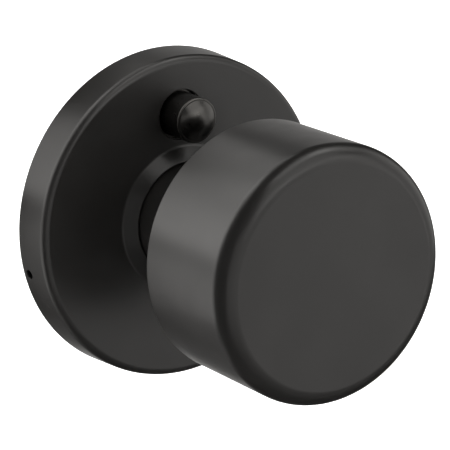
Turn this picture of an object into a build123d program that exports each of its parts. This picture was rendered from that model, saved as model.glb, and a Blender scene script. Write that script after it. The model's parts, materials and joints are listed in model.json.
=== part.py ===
from build123d import *
import os
from math import asin, cos, degrees, radians, sin

# Inside half of a privacy door knob set, in millimetres.
# The door's face is the plane y = 0 and the knob turns about the Y axis.
# -Y points into the room, +Y into the door, +Z up.

# rosette: the round cover that lies on the door
ROSETTE_RADIUS = 35.0
ROSETTE_FRONT_RADIUS = 34.7
ROSETTE_FRONT = -9.5
ROSETTE_WALL = 1.2
ROSETTE_RIM = -0.2
ROSETTE_EDGE = 1.65
COLLAR_BASE_RADIUS = 15.5
COLLAR_FRONT_RADIUS = 12.8
COLLAR_HEIGHT = 2.1
COLLAR_FOOT = 1.4
COLLAR_LIP = 0.25
NECK_OPENING = 12.5

# mounting plate: carries everything and is bolted through the door
PLATE_RADIUS = 33.5
PLATE_FRONT = -4.2
PLATE_RECESS = 0.3
PLATE_CHAMFER = 0.6
BOLT_SPACING = 38.1
BOLT_HOLE = 2.4
SCREW_RADIUS = 1.25
SCREW_DEPTH = 2.9

# grub screw in the plate's edge, reached through a small hole in the rosette's rim
GRUB_RADIUS = 1.5
GRUB_LENGTH = 4.6
GRUB_HEX = 1.5
GRUB_Y = -2.3
GRUB_ANGLE = 193.5
GRUB_ACCESS = 1.05

# bearing of the hub in the plate
BUSHING_RADIUS = 10.0
BUSHING_BORE = 8.55
BUSHING_FLANGE_RADIUS = 12.2
BUSHING_FLANGE = 0.8
THRUST_GAP = 0.1
THRUST_THICKNESS = 0.8
THRUST_RADIUS = 11.4

# hub, spindle and the knob's neck
JOURNAL_RADIUS = 8.5
JOURNAL_BACK = 0.4
STEM_RADIUS = 9.4
STEM_FRONT = -30.0
TAIL_RADIUS = 8.0
TAIL_FLATS = 13.0
TAIL_BACK = 4.6
SPINDLE_SIDE = 8.0
SPINDLE_FIT = 0.05
SPINDLE_FRONT = -24.0
SPINDLE_BACK = 36.0
SPINDLE_CHAMFER = 0.6
SPINDLE_PIN_RADIUS = 1.25
SPINDLE_PIN_Y = -15.0
SHANK_RADIUS = 12.2
SHANK_BORE = 9.5
SHANK_BACK = -6.0
SHANK_FLANGE_RADIUS = 17.5
SHANK_FLANGE = 1.5
KNOB_GRUB_RADIUS = 2.5
KNOB_GRUB_HEX = 2.5
KNOB_GRUB_Y = -22.0
KNOB_GRUB_TOP = -7.4
KNOB_GRUB_BOTTOM = -11.8

# knob
KNOB_BACK = -35.7
KNOB_FRONT = -64.2
KNOB_BACK_RADIUS = 26.9
KNOB_FRONT_RADIUS = 27.5
KNOB_FRONT_ROUND = 3.9
KNOB_BACK_ROUND = 0.75
KNOB_WALL = 1.6
BACK_DISC_INSET = 0.2
BACK_DISC_THICKNESS = 1.5
BACK_DISC_GAP = 0.05
RIVET_COUNT = 4
RIVET_CIRCLE = 15.0
RIVET_RADIUS = 1.5
RIVET_HEAD_RADIUS = 2.4
RIVET_HEAD = 1.0

# return mechanism in the cage behind the plate
CAGE_RADIUS = 26.5
CAGE_REGISTER = 26.0
CAGE_RECESS = 26.55
CAGE_WALL = 1.2
CAGE_FLOOR = 1.0
CAGE_BACK = 9.0
CAGE_CHAMFER = 0.4
CAGE_CENTRE_HOLE = 7.0
BOLT_POST_RADIUS = 3.2
BOLT_POST_BORE = 2.5
SCREW_POST_RADIUS = 2.6
SCREW_CIRCLE = 22.4
SCREW_ANGLES = (30, 150, 270)
SCREW_HEAD_RADIUS = 2.3
SCREW_HEAD = 1.4
LUG_INNER = 17.2
LUG_HALF_WIDTH = 2.4
LUG_FRONT = 2.8
CAM_THICKNESS = 2.0
CAM_RADIUS = 12.5
EAR_RADIUS = 18.5
EAR_HALF_ANGLE = 19.0
TAB_INNER = 15.2
TAB_OUTER = 16.8
TAB_BACK = 7.4
CIRCLIP_GAP = 0.2
CIRCLIP_THICKNESS = 1.0
CIRCLIP_INNER = 7.2
CIRCLIP_OUTER = 10.2
CIRCLIP_OPENING = 5.0
SPRING_RADIUS = 13.0
SPRING_WIRE = 0.7
SPRING_TURNS = 2
SPRING_PITCH = 1.6
SPRING_FRONT = 3.7
LEG_END = 19.4
LEG_GAP = 0.05

# privacy button above the knob
BUTTON_HEIGHT = 22.3
BUTTON_HOLE = 5.35
BUTTON_HOLE_EDGE = 0.25
BUTTON_RADIUS = 4.85
BUTTON_RIM = -15.5
BUTTON_DOME = 1.5
BUTTON_DOME_RADIUS = 4.3
BUTTON_EDGE = 0.35
BUTTON_BORE = 3.5
BUTTON_BORE_FRONT = -14.0
BUTTON_FLANGE_RADIUS = 6.3
BUTTON_FLANGE_GAP = 0.2
BUTTON_FLANGE = 1.0
BUTTON_TRAVEL = 4.5
POCKET_RADIUS = 6.8
POCKET_FLOOR = -1.3
ROD_RADIUS = 1.6
ROD_GUIDE = 1.7
ROD_FRONT = -15.6
ROD_TIP_RADIUS = 1.35
ROD_TIP_FRONT = 9.6
ROD_BACK = 14.0
ROD_CHAMFER = 0.4
ROD_CAGE_HOLE = 2.2
GROOVE_RADIUS = 1.15
GROOVE_WIDTH = 1.0
BUTTON_SPRING_RADIUS = 2.75
BUTTON_SPRING_WIRE = 0.25
BUTTON_SPRING_TURNS = 8

# wire detent that holds the rod in or out
DETENT_WIRE = 0.4
DETENT_Y = 0.5
DETENT_X = 9.0
DETENT_LOOP = 1.65
DETENT_GAP = 0.05
DETENT_END = -3.5
DETENT_HEAD_RADIUS = 2.2
DETENT_HEAD = 1.3
DETENT_HEX = 1.5

# faces worked out from the sizes above
ROSETTE_CEILING = ROSETTE_FRONT + ROSETTE_WALL
COLLAR_FRONT = ROSETTE_FRONT - COLLAR_HEIGHT
BUSHING_FRONT = PLATE_FRONT - BUSHING_FLANGE
THRUST_BACK = BUSHING_FRONT - THRUST_GAP
THRUST_FRONT = THRUST_BACK - THRUST_THICKNESS
BACK_DISC_BACK = KNOB_BACK - BACK_DISC_INSET
BACK_DISC_FRONT = BACK_DISC_BACK - BACK_DISC_THICKNESS
FLANGE_FRONT = BACK_DISC_FRONT - SHANK_FLANGE
CAGE_INNER = CAGE_RADIUS - CAGE_WALL
CAGE_FLOOR_FRONT = CAGE_BACK - CAGE_FLOOR
CAM_FRONT = JOURNAL_BACK
CAM_BACK = CAM_FRONT + CAM_THICKNESS
CIRCLIP_FRONT = CAM_BACK + CIRCLIP_GAP
CIRCLIP_BACK = CIRCLIP_FRONT + CIRCLIP_THICKNESS
BUTTON_FLANGE_FRONT = ROSETTE_CEILING + BUTTON_FLANGE_GAP
BUTTON_FLANGE_BACK = BUTTON_FLANGE_FRONT + BUTTON_FLANGE
DETENT_LINE = BUTTON_HEIGHT - GROOVE_RADIUS - DETENT_GAP - DETENT_WIRE
DETENT_Z = DETENT_LINE - DETENT_LOOP
LEG_X = LUG_HALF_WIDTH + SPRING_WIRE + LEG_GAP


def cylinder_y(radius, front, back, x=0.0, z=0.0):
    """A cylinder along Y from y = front to y = back."""
    upright = Rot(90, 0, 0) * Cylinder(radius, back - front)
    return Pos(x, (front + back) / 2, z) * upright


def ring_y(outer, inner, front, back):
    """A plain ring about the Y axis."""
    return cylinder_y(outer, front, back) - cylinder_y(inner, front, back)


def radial_cylinder(radius, inner, outer, angle, y):
    """A cylinder pointing out from the Y axis, angle measured from +X towards +Z."""
    lying = Pos((inner + outer) / 2, 0, 0) * Rot(0, 90, 0) * Cylinder(radius, outer - inner)
    return Pos(0, y, 0) * Rot(0, -angle, 0) * lying


def turned(points):
    """A closed (radius, y) outline turned about the Y axis."""
    outline = make_face(Polyline(*points, close=True))
    return revolve(outline, Axis.Y, 360)


def plate_y(sketch, front, back):
    """A sketch in (x, z) extruded from y = front to y = back."""
    return extrude(Plane.XZ.offset(-back) * sketch, amount=back - front)


def circles_at(shape, y, radius):
    """The circular edges of a turned shape at one height and radius."""
    circles = shape.edges().filter_by(GeomType.CIRCLE)
    return circles.filter_by(lambda e: abs(e.arc_center.Y - y) < 0.01 and abs(e.radius - radius) < 0.01)


def on_circle(radius, angle):
    """The (x, z) of a point on a circle about the Y axis."""
    return radius * cos(radians(angle)), radius * sin(radians(angle))


def hex_socket(across, front, back, x=0.0, z=0.0):
    """The hexagonal recess of a socket screw that lies along Y."""
    outline = Pos(x, z) * RegularPolygon(across / 2, 6, major_radius=False)
    return plate_y(outline, front, back)


def rosette():
    outline = [
        (NECK_OPENING, ROSETTE_CEILING),
        (NECK_OPENING, COLLAR_FRONT),
        (COLLAR_FRONT_RADIUS, COLLAR_FRONT),
        (COLLAR_BASE_RADIUS, ROSETTE_FRONT),
        (ROSETTE_FRONT_RADIUS, ROSETTE_FRONT),
        (ROSETTE_RADIUS, ROSETTE_RIM),
        (ROSETTE_RADIUS - ROSETTE_WALL, ROSETTE_RIM),
        (ROSETTE_FRONT_RADIUS - ROSETTE_WALL, ROSETTE_CEILING),
    ]
    cover = turned(outline)
    cover = fillet(circles_at(cover, ROSETTE_FRONT, COLLAR_BASE_RADIUS), COLLAR_FOOT)
    cover = fillet(circles_at(cover, COLLAR_FRONT, COLLAR_FRONT_RADIUS), COLLAR_LIP)
    cover = fillet(circles_at(cover, ROSETTE_FRONT, ROSETTE_FRONT_RADIUS), ROSETTE_EDGE)
    inner_corner = circles_at(cover, ROSETTE_CEILING, ROSETTE_FRONT_RADIUS - ROSETTE_WALL)
    cover = fillet(inner_corner, ROSETTE_EDGE - ROSETTE_WALL)
    cover -= cylinder_y(BUTTON_HOLE, ROSETTE_FRONT - 1, ROSETTE_CEILING + 1, z=BUTTON_HEIGHT)
    cover = fillet(circles_at(cover, ROSETTE_FRONT, BUTTON_HOLE), BUTTON_HOLE_EDGE)
    access = radial_cylinder(GRUB_ACCESS, PLATE_RADIUS, ROSETTE_RADIUS + 1, GRUB_ANGLE, GRUB_Y)
    return cover - access


def mounting_plate():
    plate = ring_y(PLATE_RADIUS, BUSHING_RADIUS, PLATE_FRONT, 0)
    plate = chamfer(circles_at(plate, PLATE_FRONT, PLATE_RADIUS), PLATE_CHAMFER)
    plate -= cylinder_y(CAGE_RECESS, -PLATE_RECESS, 1)
    for side in (-1, 1):
        plate -= cylinder_y(BOLT_HOLE, PLATE_FRONT - 1, 1, x=side * BOLT_SPACING / 2)
    for angle in SCREW_ANGLES:
        x, z = on_circle(SCREW_CIRCLE, angle)
        plate -= cylinder_y(SCREW_RADIUS, -SCREW_DEPTH, 1, x, z)
    plate -= cylinder_y(SCREW_RADIUS, -SCREW_DEPTH, 1, DETENT_X, DETENT_Z)
    plate -= cylinder_y(POCKET_RADIUS, PLATE_FRONT - 1, POCKET_FLOOR, z=BUTTON_HEIGHT)
    plate -= cylinder_y(ROD_GUIDE, POCKET_FLOOR - 1, 1, z=BUTTON_HEIGHT)
    grub_depth = PLATE_RADIUS - GRUB_LENGTH - 0.5
    return plate - radial_cylinder(GRUB_RADIUS, grub_depth, PLATE_RADIUS + 1, GRUB_ANGLE, GRUB_Y)


def rosette_set_screw():
    tip = ROSETTE_FRONT_RADIUS - ROSETTE_WALL + 0.1
    screw = radial_cylinder(GRUB_RADIUS, tip - GRUB_LENGTH, tip, GRUB_ANGLE, GRUB_Y)
    socket = extrude(Plane.YZ * RegularPolygon(GRUB_HEX / 2, 6, major_radius=False), amount=2.0)
    placed = Pos(0, GRUB_Y, 0) * Rot(0, -GRUB_ANGLE, 0) * Pos(tip - 1.5, 0, 0) * socket
    return screw - placed


def bearing_bushing():
    sleeve = ring_y(BUSHING_RADIUS, BUSHING_BORE, PLATE_FRONT, -PLATE_RECESS)
    return sleeve + ring_y(BUSHING_FLANGE_RADIUS, BUSHING_BORE, BUSHING_FRONT, PLATE_FRONT)


def spring_cage():
    cage = ring_y(CAGE_RADIUS, CAGE_INNER, PLATE_RECESS, CAGE_BACK)
    cage += ring_y(CAGE_REGISTER, CAGE_INNER, -PLATE_RECESS, PLATE_RECESS)
    cage += cylinder_y(CAGE_RADIUS, CAGE_FLOOR_FRONT, CAGE_BACK)
    cage = chamfer(circles_at(cage, CAGE_BACK, CAGE_RADIUS), CAGE_CHAMFER)
    for side in (-1, 1):
        cage += cylinder_y(BOLT_POST_RADIUS, -PLATE_RECESS, CAGE_BACK, x=side * BOLT_SPACING / 2)
    for angle in SCREW_ANGLES:
        x, z = on_circle(SCREW_CIRCLE, angle)
        cage += cylinder_y(SCREW_POST_RADIUS, -PLATE_RECESS, CAGE_BACK, x, z)
    lug_length = CAGE_INNER + CAGE_WALL / 2 - LUG_INNER
    lug_depth = CAGE_FLOOR_FRONT + CAGE_FLOOR / 2 - LUG_FRONT
    lug_place = Pos(0, LUG_FRONT + lug_depth / 2, -LUG_INNER - lug_length / 2)
    cage += lug_place * Box(2 * LUG_HALF_WIDTH, lug_depth, lug_length)
    cage -= cylinder_y(CAGE_CENTRE_HOLE, 0, CAGE_BACK + 1)
    cage -= cylinder_y(ROD_CAGE_HOLE, 0, CAGE_BACK + 1, z=BUTTON_HEIGHT)
    for side in (-1, 1):
        cage -= cylinder_y(BOLT_POST_BORE, -1, CAGE_BACK + 1, x=side * BOLT_SPACING / 2)
    for angle in SCREW_ANGLES:
        x, z = on_circle(SCREW_CIRCLE, angle)
        cage -= cylinder_y(SCREW_RADIUS, -1, CAGE_BACK + 1, x, z)
    return cage


def cross_slot(head_radius, front, back, x, z):
    """The cross recess of a small screw head."""
    arm = Rectangle(head_radius * 1.2, head_radius * 0.28)
    return plate_y(Pos(x, z) * (arm + Rot(0, 0, 90) * arm), front, back)


def cage_screws():
    screws = []
    for angle in SCREW_ANGLES:
        x, z = on_circle(SCREW_CIRCLE, angle)
        screw = cylinder_y(SCREW_RADIUS, -SCREW_DEPTH, CAGE_BACK, x, z)
        head = cylinder_y(SCREW_HEAD_RADIUS, CAGE_BACK, CAGE_BACK + SCREW_HEAD, x, z)
        head = fillet(head.faces().sort_by(Axis.Y)[-1].edges(), SCREW_HEAD * 0.4)
        slot = cross_slot(SCREW_HEAD_RADIUS, CAGE_BACK + SCREW_HEAD - 0.7, CAGE_BACK + 2, x, z)
        screws.append(screw + head - slot)
    return Compound(children=screws)


def return_spring():
    leg_angle = degrees(asin(LEG_X / SPRING_RADIUS))
    sweep_angle = 360 * SPRING_TURNS - 2 * leg_angle
    height = SPRING_PITCH * sweep_angle / 360
    path = Helix(SPRING_PITCH, height, SPRING_RADIUS)
    section = Plane(origin=path @ 0, z_dir=path % 0) * Circle(SPRING_WIRE)
    coil = sweep(section, path=path, is_frenet=True)
    coil = Pos(0, SPRING_FRONT, 0) * Rot(0, 90 + leg_angle, 0) * Rot(-90, 0, 0) * coil
    reach = -SPRING_RADIUS * cos(radians(leg_angle))
    for x, y in ((-LEG_X, SPRING_FRONT), (LEG_X, SPRING_FRONT + height)):
        coil += Pos(x, y, (reach - LEG_END) / 2) * Cylinder(SPRING_WIRE, reach + LEG_END)
        coil += Pos(x, y, reach) * Sphere(SPRING_WIRE)
    return coil


def return_cam():
    disc = Circle(CAM_RADIUS)
    left = on_circle(2 * EAR_RADIUS, 90 + EAR_HALF_ANGLE)
    right = on_circle(2 * EAR_RADIUS, 90 - EAR_HALF_ANGLE)
    wedge = make_face(Polyline((0, 0), right, left, close=True))
    ear = Circle(EAR_RADIUS) & wedge
    arm = Pos(0, -TAB_OUTER / 2) * Rectangle(2 * LUG_HALF_WIDTH, TAB_OUTER)
    keyway = Circle(TAIL_RADIUS) & Rectangle(TAIL_FLATS, 3 * TAIL_RADIUS)
    cam = plate_y(disc + ear + arm - keyway, CAM_FRONT, CAM_BACK)
    tab_width = TAB_OUTER - TAB_INNER
    tab = Box(2 * LUG_HALF_WIDTH, TAB_BACK - CAM_FRONT, tab_width)
    return cam + Pos(0, (TAB_BACK + CAM_FRONT) / 2, -TAB_INNER - tab_width / 2) * tab


def hub_circlip():
    clip = ring_y(CIRCLIP_OUTER, CIRCLIP_INNER, CIRCLIP_FRONT, CIRCLIP_BACK)
    gap = Pos(0, CIRCLIP_FRONT, -CIRCLIP_OUTER) * Box(CIRCLIP_OPENING, 4, 2 * CIRCLIP_INNER)
    return clip - gap


def thrust_washer():
    return ring_y(THRUST_RADIUS, JOURNAL_RADIUS, THRUST_FRONT, THRUST_BACK)


def spindle_hub():
    hub = cylinder_y(STEM_RADIUS, STEM_FRONT, THRUST_FRONT)
    hub = chamfer(circles_at(hub, STEM_FRONT, STEM_RADIUS), SPINDLE_CHAMFER)
    hub += cylinder_y(JOURNAL_RADIUS, THRUST_FRONT, JOURNAL_BACK)
    tail = Circle(TAIL_RADIUS) & Rectangle(TAIL_FLATS, 3 * TAIL_RADIUS)
    hub += plate_y(tail, JOURNAL_BACK, TAIL_BACK)
    hub -= ring_y(TAIL_RADIUS + 1, CIRCLIP_INNER, CIRCLIP_FRONT, CIRCLIP_BACK)
    broach = SPINDLE_SIDE + 2 * SPINDLE_FIT
    hub -= plate_y(Rectangle(broach, broach), STEM_FRONT - 1, TAIL_BACK + 1)
    hub -= radial_cylinder(SPINDLE_PIN_RADIUS, -STEM_RADIUS - 1, STEM_RADIUS + 1, 0, SPINDLE_PIN_Y)
    seat_depth = STEM_RADIUS + 1 + KNOB_GRUB_TOP
    seat = Pos(0, KNOB_GRUB_Y, KNOB_GRUB_TOP - seat_depth / 2) * Cylinder(KNOB_GRUB_RADIUS, seat_depth)
    return hub - seat


def spindle():
    bar = plate_y(Rectangle(SPINDLE_SIDE, SPINDLE_SIDE), SPINDLE_FRONT, SPINDLE_BACK)
    bar = chamfer(bar.faces().sort_by(Axis.Y)[-1].edges(), SPINDLE_CHAMFER)
    return bar - radial_cylinder(SPINDLE_PIN_RADIUS, -SPINDLE_SIDE, SPINDLE_SIDE, 0, SPINDLE_PIN_Y)


def spindle_pin():
    half = STEM_RADIUS - 0.2
    pin = radial_cylinder(SPINDLE_PIN_RADIUS, -half, half, 0, SPINDLE_PIN_Y)
    return pin - radial_cylinder(SPINDLE_PIN_RADIUS / 2, -half - 1, half + 1, 0, SPINDLE_PIN_Y)


def knob_shell():
    outline = [
        (0, KNOB_FRONT),
        (KNOB_FRONT_RADIUS, KNOB_FRONT),
        (KNOB_BACK_RADIUS, KNOB_BACK),
        (KNOB_BACK_RADIUS - KNOB_WALL, KNOB_BACK),
        (KNOB_FRONT_RADIUS - KNOB_WALL, KNOB_FRONT + KNOB_WALL),
        (0, KNOB_FRONT + KNOB_WALL),
    ]
    shell = turned(outline)
    shell = fillet(circles_at(shell, KNOB_FRONT, KNOB_FRONT_RADIUS), KNOB_FRONT_ROUND)
    shell = fillet(circles_at(shell, KNOB_BACK, KNOB_BACK_RADIUS), KNOB_BACK_ROUND)
    inner_radius = KNOB_FRONT_RADIUS - KNOB_WALL
    inner_round = KNOB_FRONT_ROUND - KNOB_WALL
    return fillet(circles_at(shell, KNOB_FRONT + KNOB_WALL, inner_radius), inner_round)


def rivet_places():
    """The (x, z) of each rivet through the knob's back and the shank's flange."""
    return [on_circle(RIVET_CIRCLE, 45 + 360 * i / RIVET_COUNT) for i in range(RIVET_COUNT)]


def countersunk(x, z):
    """A rivet's body with a flush conical head in the knob's back."""
    body = cylinder_y(RIVET_RADIUS, FLANGE_FRONT, BACK_DISC_BACK, x, z)
    cone = Rot(-90, 0, 0) * Cone(RIVET_RADIUS, RIVET_HEAD_RADIUS, RIVET_HEAD)
    return body + Pos(x, BACK_DISC_BACK - RIVET_HEAD / 2, z) * cone


def knob_back():
    radius = KNOB_BACK_RADIUS - KNOB_WALL - BACK_DISC_GAP
    disc = ring_y(radius, SHANK_RADIUS, BACK_DISC_FRONT, BACK_DISC_BACK)
    for x, z in rivet_places():
        disc -= countersunk(x, z)
    return disc


def knob_shank():
    shank = ring_y(SHANK_RADIUS, SHANK_BORE, FLANGE_FRONT, SHANK_BACK)
    shank += ring_y(SHANK_FLANGE_RADIUS, SHANK_BORE, FLANGE_FRONT, BACK_DISC_FRONT)
    for x, z in rivet_places():
        shank -= cylinder_y(RIVET_RADIUS, FLANGE_FRONT - 1, BACK_DISC_BACK, x, z)
    thread = Pos(0, KNOB_GRUB_Y, -SHANK_RADIUS) * Cylinder(KNOB_GRUB_RADIUS, 2 * (SHANK_RADIUS - SHANK_BORE) + 1)
    return shank - thread


def knob_rivets():
    rivets = []
    for x, z in rivet_places():
        head = cylinder_y(RIVET_HEAD_RADIUS, FLANGE_FRONT - RIVET_HEAD, FLANGE_FRONT, x, z)
        head = fillet(head.faces().sort_by(Axis.Y)[0].edges(), RIVET_HEAD * 0.6)
        rivets.append(countersunk(x, z) + head)
    return Compound(children=rivets)


def knob_set_screw():
    length = KNOB_GRUB_TOP - KNOB_GRUB_BOTTOM
    screw = Pos(0, KNOB_GRUB_Y, KNOB_GRUB_BOTTOM + length / 2) * Cylinder(KNOB_GRUB_RADIUS, length)
    outline = RegularPolygon(KNOB_GRUB_HEX / 2, 6, major_radius=False)
    socket = Pos(0, KNOB_GRUB_Y, KNOB_GRUB_BOTTOM - 1) * extrude(outline, amount=1 + length / 2)
    return screw - socket


def privacy_button():
    apex = (0, BUTTON_RIM - BUTTON_DOME)
    crease = (BUTTON_DOME_RADIUS, BUTTON_RIM)
    dome = TangentArc(apex, crease, tangent=(1, 0))
    rim = (BUTTON_RADIUS, BUTTON_RIM)
    foot = (BUTTON_RADIUS, BUTTON_FLANGE_FRONT)
    sides = Polyline(crease, rim, foot, (0, BUTTON_FLANGE_FRONT), apex)
    body = revolve(make_face(dome + sides), Axis.Y, 360)
    body = fillet(circles_at(body, BUTTON_RIM, BUTTON_RADIUS), BUTTON_EDGE)
    body += cylinder_y(BUTTON_FLANGE_RADIUS, BUTTON_FLANGE_FRONT, BUTTON_FLANGE_BACK)
    body -= cylinder_y(BUTTON_BORE, BUTTON_BORE_FRONT, BUTTON_FLANGE_BACK + 1)
    body -= cylinder_y(ROD_RADIUS, ROD_FRONT, BUTTON_BORE_FRONT + 1)
    return Pos(0, 0, BUTTON_HEIGHT) * body


def privacy_rod():
    rod = cylinder_y(ROD_RADIUS, ROD_FRONT, ROD_TIP_FRONT) + cylinder_y(ROD_TIP_RADIUS, ROD_TIP_FRONT, ROD_BACK)
    rod = chamfer(circles_at(rod, ROD_BACK, ROD_TIP_RADIUS), ROD_CHAMFER)
    for y in (DETENT_Y, DETENT_Y - BUTTON_TRAVEL):
        rod -= ring_y(ROD_RADIUS + 1, GROOVE_RADIUS, y - GROOVE_WIDTH / 2, y + GROOVE_WIDTH / 2)
    return Pos(0, 0, BUTTON_HEIGHT) * rod


def privacy_spring():
    front = BUTTON_BORE_FRONT + BUTTON_SPRING_WIRE + 0.05
    back = POCKET_FLOOR - BUTTON_SPRING_WIRE - 0.05
    path = Helix((back - front) / BUTTON_SPRING_TURNS, back - front, BUTTON_SPRING_RADIUS)
    section = Plane(origin=path @ 0, z_dir=path % 0) * Circle(BUTTON_SPRING_WIRE)
    coil = sweep(section, path=path, is_frenet=True)
    return Pos(0, front, BUTTON_HEIGHT) * Rot(-90, 0, 0) * coil


def detent_spring():
    loop = CenterArc((DETENT_X, DETENT_Z), DETENT_LOOP, 150, 300)
    straight = Line((DETENT_X, DETENT_LINE), (DETENT_END, DETENT_LINE))
    path = Plane.XZ.offset(-DETENT_Y) * (loop + straight)
    wire = Wire(path.edges())
    section = Plane(origin=wire @ 0, z_dir=wire % 0) * Circle(DETENT_WIRE)
    return sweep(section, path=wire)


def detent_screw():
    seat = DETENT_Y + DETENT_WIRE + DETENT_GAP
    screw = cylinder_y(SCREW_RADIUS, -SCREW_DEPTH, seat, DETENT_X, DETENT_Z)
    screw += cylinder_y(DETENT_HEAD_RADIUS, seat, seat + DETENT_HEAD, DETENT_X, DETENT_Z)
    return screw - hex_socket(DETENT_HEX, seat + 0.4, seat + DETENT_HEAD + 1, DETENT_X, DETENT_Z)


PARTS = [
    rosette,
    mounting_plate,
    rosette_set_screw,
    bearing_bushing,
    spring_cage,
    cage_screws,
    return_spring,
    return_cam,
    hub_circlip,
    thrust_washer,
    spindle_hub,
    spindle,
    spindle_pin,
    knob_shell,
    knob_back,
    knob_shank,
    knob_rivets,
    knob_set_screw,
    privacy_button,
    privacy_rod,
    privacy_spring,
    detent_spring,
    detent_screw,
]

os.makedirs("parts", exist_ok=True)
for make in PARTS:
    export_step(make(), f"parts/{make.__name__}.step")
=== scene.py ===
import json
import math

import bmesh
import bpy
from mathutils import Matrix, Quaternion, Vector


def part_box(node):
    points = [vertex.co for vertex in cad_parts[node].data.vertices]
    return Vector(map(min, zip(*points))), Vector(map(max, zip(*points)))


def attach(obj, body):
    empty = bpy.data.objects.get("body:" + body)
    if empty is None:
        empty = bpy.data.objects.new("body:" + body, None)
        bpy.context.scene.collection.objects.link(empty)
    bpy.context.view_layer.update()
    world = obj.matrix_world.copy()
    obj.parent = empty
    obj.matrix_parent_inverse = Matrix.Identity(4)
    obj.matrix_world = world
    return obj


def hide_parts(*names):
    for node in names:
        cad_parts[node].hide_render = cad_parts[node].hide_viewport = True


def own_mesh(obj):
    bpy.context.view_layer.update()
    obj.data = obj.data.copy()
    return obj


# The looks of a privacy door knob: finer meshes for the parts that show, a finish for every part,
# and a studio with soft lights and a camera. The knob's axis is x = z = 0, and -Y faces the person.

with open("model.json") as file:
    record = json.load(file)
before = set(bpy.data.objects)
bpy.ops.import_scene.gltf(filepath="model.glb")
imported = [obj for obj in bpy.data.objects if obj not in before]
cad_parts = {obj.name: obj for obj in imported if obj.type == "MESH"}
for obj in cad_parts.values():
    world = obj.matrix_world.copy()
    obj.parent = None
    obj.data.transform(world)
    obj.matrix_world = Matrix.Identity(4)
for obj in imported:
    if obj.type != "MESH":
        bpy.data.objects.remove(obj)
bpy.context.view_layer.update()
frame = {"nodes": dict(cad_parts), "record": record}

MM = 0.001

# Places and sizes in metres, from the frame where it gives them.
ROSETTE_LOW, ROSETTE_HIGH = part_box("rosette")
SHELL_LOW, SHELL_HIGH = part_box("knob_shell")
DISC_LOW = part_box("knob_back")[0]
SHANK_LOW, SHANK_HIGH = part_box("knob_shank")
BUTTON_LOW, BUTTON_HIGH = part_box("privacy_button")
GRUB_LOW, GRUB_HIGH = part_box("rosette_set_screw")
KNOB_GRUB_LOW, KNOB_GRUB_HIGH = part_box("knob_set_screw")
ROD_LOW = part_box("privacy_rod")[0]
SPRING_LOW, SPRING_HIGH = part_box("privacy_spring")

ROSETTE_RADIUS = ROSETTE_HIGH.x
ROSETTE_FRONT_RADIUS = 34.7 * MM
ROSETTE_WALL = 1.2 * MM
ROSETTE_EDGE = 1.65 * MM
COLLAR_HEIGHT = 2.1 * MM
COLLAR_BASE = 15.5 * MM
COLLAR_FRONT = 12.8 * MM
COLLAR_FOOT = 1.4 * MM
COLLAR_LIP = 0.25 * MM
ROSETTE_SMALL_EDGE = 0.15 * MM
ROSETTE_CUT_DEPTH = 3 * MM
NECK_OPENING = 12.5 * MM
ROSETTE_FRONT = ROSETTE_LOW.y + COLLAR_HEIGHT
BUTTON_Z = (BUTTON_LOW.z + BUTTON_HIGH.z) / 2
BUTTON_RADIUS = 4.85 * MM
BUTTON_EDGE = 0.35 * MM
BUTTON_CREASE = 4.3 * MM
BUTTON_DOME = 1.5 * MM
BUTTON_HOLE = 5.35 * MM
BUTTON_HOLE_EDGE = 0.25 * MM
BUTTON_CREASE_ROUND = 0.06 * MM
BUTTON_FLANGE = 1.0 * MM
BUTTON_FLANGE_EDGE = 0.1 * MM
BUTTON_BORE = 3.5 * MM
BUTTON_BORE_FRONT = -14.0 * MM
ROD_RADIUS = 1.6 * MM
SPRING_WIRE_RADIUS = 0.25 * MM
SPRING_TURNS = 8
SHANK_RADIUS = 12.2 * MM
SHANK_BORE = 9.5 * MM
KNOB_FRONT_RADIUS = 27.5 * MM
KNOB_BACK_RADIUS = 26.9 * MM
KNOB_FRONT_ROUND = 3.9 * MM
KNOB_BACK_ROUND = 0.75 * MM
KNOB_WALL = 1.6 * MM
KNOB_INNER_EDGE = 0.2 * MM
NECK_EDGE = 0.2 * MM
NECK_CUT_DEPTH = 4 * MM
ACCESS_HOLE = 1.05 * MM
SCREW_HOLE_EDGE = 0.15 * MM


# ---- shapes ---------------------------------------------------------------------------------


def rounded(corners, steps=12):
    """The points of a closed outline given as (radius, y, rounding) corners, roundings as arcs."""
    points = []
    for i, (r, y, rounding) in enumerate(corners):
        corner = Vector((r, y))
        if rounding == 0:
            points.append(corner)
            continue
        before = (Vector(corners[i - 1][:2]) - corner).normalized()
        after = (Vector(corners[(i + 1) % len(corners)][:2]) - corner).normalized()
        half = before.angle(after) / 2
        middle = (before + after).normalized()
        centre = corner + middle * rounding / math.sin(half)
        turn = math.pi / 2 - half
        side = 1 if before.x * after.y - before.y * after.x > 0 else -1
        for k in range(steps + 1):
            angle = side * turn * (1 - 2 * k / steps)
            points.append(centre + Matrix.Rotation(angle, 2) @ -middle * rounding)
    return points


def ring_angles(radius, segments):
    """Evenly spaced angles for a ring's points, or one angle where the radius is 0."""
    count = 1 if radius < 1e-7 else segments
    return [2 * math.pi * k / segments for k in range(count)]


def bridge(bm, a, b, segments):
    """Faces between two rings of points, either of which may be a single point."""
    for k in range(segments):
        after = k + 1
        corners = [a[k % len(a)], a[after % len(a)], b[after % len(b)], b[k % len(b)]]
        corners = list(dict.fromkeys(corners))
        if len(corners) > 2:
            bm.faces.new(corners)


def smooth_object(name, bm):
    """Turns the finished bmesh into a smooth object in the scene."""
    mesh = bpy.data.meshes.new(name)
    bm.to_mesh(mesh)
    bm.free()
    mesh.shade_smooth()
    piece = bpy.data.objects.new(name, mesh)
    bpy.context.scene.collection.objects.link(piece)
    return piece


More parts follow.
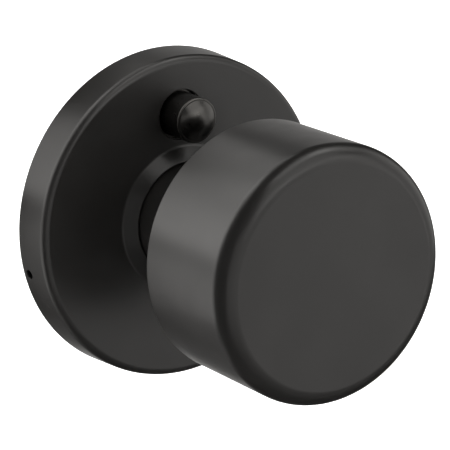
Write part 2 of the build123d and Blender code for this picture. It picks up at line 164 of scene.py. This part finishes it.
def lathe(name, outline, x=0.0, z=0.0, segments=192):
    """A closed outline of (radius, y) turned about the line parallel to Y through (x, z)."""
    bm = bmesh.new()
    rings = []
    for r, y in outline:
        angles = ring_angles(r, segments)
        rings.append([bm.verts.new((x + r * math.cos(a), y, z + r * math.sin(a))) for a in angles])
    for a, b in zip(rings, rings[1:] + rings[:1]):
        bridge(bm, a, b, segments)
    bmesh.ops.recalc_face_normals(bm, faces=bm.faces)
    return smooth_object(name, bm)


def coil(name, radius, wire_radius, turns, front, back, z):
    """A round wire wound about the line parallel to Y at that height, from y = front to y = back."""
    steps_per_turn, sides = 32, 12
    steps = steps_per_turn * turns
    along = Vector((0, 1, 0))
    bm = bmesh.new()
    rings = []
    for k in range(steps + 1):
        angle = 2 * math.pi * k / steps_per_turn
        outwards = Vector((math.cos(angle), 0, math.sin(angle)))
        centre = Vector((0, front + (back - front) * k / steps, z)) + outwards * radius
        offsets = [outwards * math.cos(a) + along * math.sin(a) for a in ring_angles(wire_radius, sides)]
        rings.append([bm.verts.new(centre + offset * wire_radius) for offset in offsets])
    for a, b in zip(rings, rings[1:]):
        bridge(bm, a, b, sides)
    bm.faces.new(rings[0])
    bm.faces.new(rings[-1])
    bmesh.ops.recalc_face_normals(bm, faces=bm.faces)
    return smooth_object(name, bm)


def cut(piece, *cutters):
    """Takes the cutters' solids out of the piece and removes the cutters."""
    for cutter in cutters:
        boolean = piece.modifiers.new("cut", "BOOLEAN")
        boolean.operation = "DIFFERENCE"
        boolean.solver = "EXACT"
        boolean.object = cutter
    evaluated = piece.evaluated_get(bpy.context.evaluated_depsgraph_get())
    mesh = bpy.data.meshes.new_from_object(evaluated)
    piece.modifiers.clear()
    piece.data = mesh
    mesh.name = piece.name
    for cutter in cutters:
        bpy.data.objects.remove(cutter)


def even_shading(piece):
    """Flat faces stay flat and roundings stay smooth: a vertex takes the normal of its largest faces."""
    bm = bmesh.new()
    bm.from_mesh(piece.data)
    normals = []
    for vert in bm.verts:
        total = Vector()
        for face in vert.link_faces:
            total += face.normal * (face.calc_area() / MM ** 2) ** 2
        normals.append(total.normalized())
    bm.free()
    piece.data.normals_split_custom_set_from_vertices(normals)


def finished(piece, body, node, slot):
    """Puts a piece on its body in place of a CAD node, with the material of its slot."""
    even_shading(piece)
    piece.data.materials.clear()
    piece.data.materials.append(MATERIALS[slot])
    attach(piece, body)
    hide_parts(node)


def flared_cutter(name, radius, mouth, depth, lip, x=0.0, z=0.0, segments=98):
    """A cutter for a hole with a rounded lip, from y = mouth inwards to y = mouth + depth.

    Its number of sides keeps its corners off the edges of the turned piece that it cuts.
    """
    outline = [Vector((0, mouth - lip)), Vector((radius + 2 * lip, mouth - lip))]
    steps = 6
    for k in range(steps + 1):
        angle = math.pi / 2 * k / steps
        r = radius + lip - lip * math.sin(angle)
        outline.append(Vector((r, mouth + lip - lip * math.cos(angle))))
    outline += [Vector((radius, mouth + depth)), Vector((0, mouth + depth))]
    return lathe(name, outline, x, z, segments)


def turned_towards(piece, direction):
    """Turns a piece made along Y so that its -Y points along the direction."""
    turn = Vector((0, -1, 0)).rotation_difference(direction)
    piece.data.transform(turn.to_matrix().to_4x4())


# ---- materials ------------------------------------------------------------------------------


def new_material(name):
    """A material with its shader and the coordinates of the object's own space."""
    material = bpy.data.materials.new(name)
    material.use_nodes = True
    nodes = material.node_tree.nodes
    shader = nodes["Principled BSDF"]
    place = nodes.new("ShaderNodeTexCoord")
    return material, shader, place.outputs["Object"]


def noise(material, place, scale, detail=3.0, stretch=(1, 1, 1)):
    """Noise of that many cells per metre in the object's own space."""
    tree = material.node_tree
    mapping = tree.nodes.new("ShaderNodeMapping")
    mapping.inputs["Scale"].default_value = stretch
    texture = tree.nodes.new("ShaderNodeTexNoise")
    texture.inputs["Scale"].default_value = scale
    texture.inputs["Detail"].default_value = detail
    tree.links.new(place, mapping.inputs["Vector"])
    tree.links.new(mapping.outputs["Vector"], texture.inputs["Vector"])
    return texture.outputs["Fac"]


def ramp(material, value, socket, low, high, start=0.3, end=0.7):
    """Feeds a socket with a colour or number that runs from low to high with the value."""
    tree = material.node_tree
    node = tree.nodes.new("ShaderNodeValToRGB")
    for element, place, colour in zip(node.color_ramp.elements, (start, end), (low, high)):
        element.position = place
        element.color = (*colour, 1) if isinstance(colour, tuple) else (colour, colour, colour, 1)
    tree.links.new(value, node.inputs["Fac"])
    tree.links.new(node.outputs["Color"], socket)


def bump(material, shader, height, distance, strength):
    """Tilts the shader's normal by the height, which spans that distance in metres."""
    tree = material.node_tree
    node = tree.nodes.new("ShaderNodeBump")
    node.inputs["Distance"].default_value = distance
    node.inputs["Strength"].default_value = strength
    tree.links.new(height, node.inputs["Height"])
    tree.links.new(node.outputs["Normal"], shader.inputs["Normal"])


def black_finish():
    """Satin black coating: near-black with a fine, even orange peel."""
    material, shader, place = new_material("black_finish")
    cloud = noise(material, place, 60, 2)
    darker, lighter = (0.0068, 0.0064, 0.0060), (0.0092, 0.0087, 0.0082)
    ramp(material, cloud, shader.inputs["Base Color"], darker, lighter)
    smear = noise(material, place, 220, 4)
    ramp(material, smear, shader.inputs["Roughness"], 0.29, 0.33)
    grain = noise(material, place, 1500, 1)
    bump(material, shader, grain, 0.01 * MM, 0.2)
    return material


def black_nickel():
    """Smooth dark plate on the privacy button, shinier than the coating."""
    material, shader, place = new_material("black_nickel")
    shader.inputs["Metallic"].default_value = 1
    cloud = noise(material, place, 400, 3)
    ramp(material, cloud, shader.inputs["Base Color"], (0.078, 0.076, 0.073), (0.094, 0.092, 0.088))
    ramp(material, noise(material, place, 900, 4), shader.inputs["Roughness"], 0.27, 0.32)
    bump(material, shader, noise(material, place, 2200, 1), 0.01 * MM, 0.15)
    return material


def plated_steel():
    """Zinc plate on steel: pale, slightly mottled metal."""
    material, shader, place = new_material("plated_steel")
    shader.inputs["Metallic"].default_value = 1
    spangle = noise(material, place, 180, 5)
    ramp(material, spangle, shader.inputs["Base Color"], (0.50, 0.50, 0.48), (0.66, 0.66, 0.63))
    ramp(material, noise(material, place, 420, 4), shader.inputs["Roughness"], 0.28, 0.46)
    bump(material, shader, noise(material, place, 1800, 3), 0.02 * MM, 0.3)
    return material


def black_oxide():
    """Blackened steel of the grub screws."""
    material, shader, place = new_material("black_oxide")
    shader.inputs["Metallic"].default_value = 0.9
    ramp(material, noise(material, place, 700, 4), shader.inputs["Base Color"], 0.025, 0.05)
    ramp(material, noise(material, place, 900, 3), shader.inputs["Roughness"], 0.35, 0.5)
    return material


def spring_steel():
    """Drawn wire and stamped spring steel, darker than the plated parts."""
    material, shader, place = new_material("spring_steel")
    shader.inputs["Metallic"].default_value = 1
    ramp(material, noise(material, place, 500, 4), shader.inputs["Base Color"], 0.24, 0.36)
    ramp(material, noise(material, place, 1200, 3), shader.inputs["Roughness"], 0.22, 0.36)
    return material


def bearing_brass():
    """Machined brass with fine turning marks."""
    material, shader, place = new_material("bearing_brass")
    shader.inputs["Metallic"].default_value = 1
    tarnish = noise(material, place, 300, 3)
    ramp(material, tarnish, shader.inputs["Base Color"], (0.62, 0.44, 0.17), (0.78, 0.58, 0.27))
    ramp(material, noise(material, place, 900, 2, (1, 12, 1)), shader.inputs["Roughness"], 0.22, 0.34)
    return material


FINISHES = (black_finish, black_nickel, plated_steel, black_oxide, spring_steel, bearing_brass)
MATERIALS = {make.__name__: make() for make in FINISHES}


# ---- pieces ---------------------------------------------------------------------------------


def rosette_cover():
    """The round cover with its collar, the button's hole and the small hole in its rim."""
    ceiling = ROSETTE_FRONT + ROSETTE_WALL
    small = ROSETTE_SMALL_EDGE
    cover = lathe("rosette_cover", rounded([
        (NECK_OPENING, ROSETTE_LOW.y, small),
        (COLLAR_FRONT, ROSETTE_LOW.y, COLLAR_LIP),
        (COLLAR_BASE, ROSETTE_FRONT, COLLAR_FOOT),
        (ROSETTE_FRONT_RADIUS, ROSETTE_FRONT, ROSETTE_EDGE),
        (ROSETTE_RADIUS, ROSETTE_HIGH.y, small),
        (ROSETTE_RADIUS - ROSETTE_WALL, ROSETTE_HIGH.y, small),
        (ROSETTE_FRONT_RADIUS - ROSETTE_WALL, ceiling, ROSETTE_EDGE - ROSETTE_WALL),
        (NECK_OPENING, ceiling, small),
    ]), segments=256)
    depth = ROSETTE_CUT_DEPTH
    button_hole = flared_cutter(
        "button_hole", BUTTON_HOLE, ROSETTE_FRONT, depth, BUTTON_HOLE_EDGE, z=BUTTON_Z
    )
    access = flared_cutter(
        "access_hole", ACCESS_HOLE, -ROSETTE_RADIUS, depth, SCREW_HOLE_EDGE, segments=48
    )
    grub = (GRUB_LOW + GRUB_HIGH) / 2
    outwards = Vector((grub.x, 0, grub.z)).normalized()
    turned_towards(access, outwards)
    access.data.transform(Matrix.Translation((0, grub.y, 0)))
    cut(cover, button_hole, access)
    finished(cover, "trim", "rosette", "black_finish")


def knob_drum():
    """The knob's hollow drum with its large front rounding."""
    front, back = SHELL_LOW.y, SHELL_HIGH.y
    wall = KNOB_WALL
    outline = rounded([
        (0, front, 0),
        (KNOB_FRONT_RADIUS, front, KNOB_FRONT_ROUND),
        (KNOB_BACK_RADIUS, back, KNOB_BACK_ROUND),
        (KNOB_BACK_RADIUS - wall, back, KNOB_INNER_EDGE),
        (KNOB_FRONT_RADIUS - wall, front + wall, KNOB_FRONT_ROUND - wall),
        (0, front + wall, 0),
    ], steps=24)
    drum = lathe("knob_drum", outline, segments=256)
    finished(drum, "knob", "knob_shell", "black_finish")


def knob_neck():
    """The neck with the flange inside the drum and the grub screw's hole in its underside."""
    flange = SHANK_HIGH.x
    flange_back = DISC_LOW.y
    small = NECK_EDGE
    neck = lathe("knob_neck", rounded([
        (SHANK_BORE, SHANK_LOW.y, small),
        (flange, SHANK_LOW.y, small),
        (flange, flange_back, small),
        (SHANK_RADIUS, flange_back, small),
        (SHANK_RADIUS, SHANK_HIGH.y, small),
        (SHANK_BORE, SHANK_HIGH.y, small),
    ], steps=4))
    radius = (KNOB_GRUB_HIGH.x - KNOB_GRUB_LOW.x) / 2
    hole = flared_cutter(
        "grub_hole", radius, -SHANK_RADIUS, NECK_CUT_DEPTH, SCREW_HOLE_EDGE, segments=64
    )
    turned_towards(hole, Vector((0, 0, -1)))
    hole.data.transform(Matrix.Translation((0, (KNOB_GRUB_LOW.y + KNOB_GRUB_HIGH.y) / 2, 0)))
    cut(neck, hole)
    finished(neck, "knob", "knob_shank", "black_finish")


def button_cap():
    """The privacy button: a dome with a crease, a rim, a flange and a bore for spring and rod."""
    apex = BUTTON_LOW.y
    rim = apex + BUTTON_DOME
    flange_radius = (BUTTON_HIGH.x - BUTTON_LOW.x) / 2
    flange_front = BUTTON_HIGH.y - BUTTON_FLANGE
    dome = (BUTTON_CREASE ** 2 + BUTTON_DOME ** 2) / (2 * BUTTON_DOME)
    full = math.asin(BUTTON_CREASE / dome)
    cap_steps = 24
    corners = []
    for k in range(cap_steps):
        angle = full * k / cap_steps
        corners.append((dome * math.sin(angle), apex + dome * (1 - math.cos(angle)), 0))
    corners += [
        (BUTTON_CREASE, rim, BUTTON_CREASE_ROUND),
        (BUTTON_RADIUS, rim, BUTTON_EDGE),
        (BUTTON_RADIUS, flange_front, BUTTON_FLANGE_EDGE),
        (flange_radius, flange_front, BUTTON_FLANGE_EDGE),
        (flange_radius, BUTTON_HIGH.y, BUTTON_FLANGE_EDGE),
        (BUTTON_BORE, BUTTON_HIGH.y, BUTTON_FLANGE_EDGE),
        (BUTTON_BORE, BUTTON_BORE_FRONT, 0),
        (ROD_RADIUS, BUTTON_BORE_FRONT, 0),
        (ROD_RADIUS, ROD_LOW.y, 0),
        (0, ROD_LOW.y, 0),
    ]
    cap = lathe("button_cap", rounded(corners, steps=8), z=BUTTON_Z, segments=128)
    finished(cap, "privacy", "privacy_button", "black_nickel")


def button_spring():
    """The compression spring in the button's bore, which shortens as the button goes in."""
    radius = (SPRING_HIGH.x - SPRING_LOW.x) / 2 - SPRING_WIRE_RADIUS
    front, back = SPRING_LOW.y + SPRING_WIRE_RADIUS, SPRING_HIGH.y - SPRING_WIRE_RADIUS
    spring = coil("button_spring", radius, SPRING_WIRE_RADIUS, SPRING_TURNS, front, back, BUTTON_Z)
    finished(spring, "trim", "privacy_spring", "spring_steel")
    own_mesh(spring)


def paint_cad_nodes():
    """Every CAD node takes the material of its slot."""
    slots = {part["node"]: part["material_slot"] for part in frame["record"]["subparts"]}
    for name, node in frame["nodes"].items():
        node.data.materials.clear()
        node.data.materials.append(MATERIALS[slots[name]])


paint_cad_nodes()
rosette_cover()
knob_drum()
knob_neck()
button_cap()
button_spring()


# ---- stage, lights and camera ---------------------------------------------------------------


def stage_material():
    """A matt floor that glows a little, so that it stays pale and even."""
    material = bpy.data.materials.new("pale_floor")
    material.use_nodes = True
    shader = material.node_tree.nodes["Principled BSDF"]
    shader.inputs["Base Color"].default_value = (0.9, 0.9, 0.9, 1)
    shader.inputs["Roughness"].default_value = 0.9
    shader.inputs["Emission Color"].default_value = (1, 1, 1, 1)
    shader.inputs["Emission Strength"].default_value = 0.75
    return material


def floor():
    """A pale floor well below the knob that rises in a wide sweep all round."""
    level, radius, sweep, height = -0.16, 2.2, 0.8, 2.6
    points = [Vector((0, level)), Vector((radius, level))]
    steps = 16
    for k in range(1, steps + 1):
        angle = math.pi / 2 * k / steps
        points.append(Vector((radius + sweep * math.sin(angle), level + sweep * (1 - math.cos(angle)))))
    points.append(Vector((radius + sweep, height)))
    bm = bmesh.new()
    segments = 96
    rings = []
    for r, z in points:
        angles = ring_angles(r, segments)
        rings.append([bm.verts.new((r * math.cos(a), r * math.sin(a), z)) for a in angles])
    for a, b in zip(rings, rings[1:]):
        bridge(bm, a, b, segments)
    sheet = smooth_object("floor", bm)
    sheet.data.materials.append(stage_material())
    sheet.visible_glossy = False


WARM_WHITE = (1.0, 0.98, 0.955)
LIT_POINT = Vector((0, -0.035, 0))


def panel(name, place, target, width, height, radiance):
    """A rectangular area light that faces the target, as bright as the radiance says."""
    light = bpy.data.lights.new(name, "AREA")
    light.shape = "RECTANGLE"
    light.size, light.size_y = width, height
    light.energy = radiance * math.pi * width * height
    light.color = WARM_WHITE
    lamp = bpy.data.objects.new(name, light)
    lamp.location = place
    lamp.rotation_mode = "QUATERNION"
    lamp.rotation_quaternion = (place - target).to_track_quat("Z", "Y")
    lamp.visible_camera = False
    bpy.context.scene.collection.objects.link(lamp)


def softbox(name, direction, distance, width, height, radiance):
    """A studio light that far away in that direction, facing the knob."""
    place = LIT_POINT + Vector(direction).normalized() * distance
    panel(name, place, LIT_POINT, width, height, radiance)


def card(name, place, target, width, height, radiance):
    """A small panel beside the rosette, just behind the door's face, which lights the knob's side."""
    panel(name, Vector(place), Vector(target), width, height, radiance)


def lights():
    """Large soft lights all round, and small cards that light the side of the knob."""
    softbox("front", (0.35, -0.95, 0.0), 1.3, 1.5, 1.3, 0.68)
    softbox("front_right", (0.90, -0.60, 0.05), 1.3, 1.0, 1.3, 0.70)
    softbox("front_left", (-0.42, -0.88, -0.15), 1.3, 0.7, 1.3, 0.58)
    softbox("front_top", (0.25, -0.75, 0.65), 1.2, 1.2, 0.7, 1.15)
    softbox("front_low", (0.35, -0.80, -0.70), 1.2, 1.4, 0.7, 0.15)
    softbox("overhead", (0.20, -0.28, 0.92), 0.9, 0.9, 0.3, 2.20)
    softbox("overhead_right", (0.60, -0.10, 0.80), 0.9, 0.4, 0.5, 1.20)
    softbox("behind_top", (0.50, 0.80, 0.20), 1.0, 0.5, 0.5, 0.42)
    softbox("behind", (0.54, 0.79, -0.29), 1.0, 0.5, 0.5, 0.95)
    softbox("behind_low", (0.20, 0.80, -0.60), 1.0, 0.5, 0.5, 0.15)
    softbox("front_strip", (0.24, -0.93, 0.27), 1.3, 0.7, 0.14, 2.4)
    softbox("right", (0.98, 0.0, 0.15), 1.0, 0.5, 0.9, 0.95)
    card("card_left", (-0.088, 0.012, 0.012), (-0.030, -0.050, 0.008), 0.060, 0.150, 1.10)
    card("card_upper_left", (-0.065, 0.012, 0.065), (-0.020, -0.050, 0.025), 0.070, 0.120, 1.50)
    card("card_top", (-0.020, 0.012, 0.095), (0.0, -0.050, 0.030), 0.090, 0.060, 1.12)
    card("card_lower_left", (-0.070, 0.012, -0.055), (-0.020, -0.050, -0.020), 0.070, 0.110, 0.30)


def dim_world():
    """A nearly black world, so that only the lights and the floor show in the finish."""
    world = bpy.data.worlds.new("studio")
    world.use_nodes = True
    world.node_tree.nodes["Background"].inputs["Color"].default_value = (0.02, 0.02, 0.02, 1)
    bpy.context.scene.world = world


def camera():
    """The camera stands left of the knob and above it, far away, with a long lens."""
    aim = Vector((-0.0026, -0.0290, 0.0033))
    azimuth, elevation, roll = math.radians(-34.19), math.radians(16.73), math.radians(-0.90)
    distance = 0.9599
    back = Vector((
        math.sin(azimuth) * math.cos(elevation),
        -math.cos(azimuth) * math.cos(elevation),
        math.sin(elevation),
    ))
    data = bpy.data.cameras.new("camera")
    data.lens = 370.9
    data.sensor_width = 36
    data.clip_start = 0.05
    data.clip_end = 20
    eye = bpy.data.objects.new("camera", data)
    eye.location = aim + back * distance
    eye.rotation_mode = "QUATERNION"
    eye.rotation_quaternion = back.to_track_quat("Z", "Y") @ Quaternion((0, 0, 1), roll)
    bpy.context.scene.collection.objects.link(eye)
    bpy.context.scene.camera = eye


floor()
lights()
dim_world()
camera()
bpy.context.scene.view_settings.view_transform = "Standard"
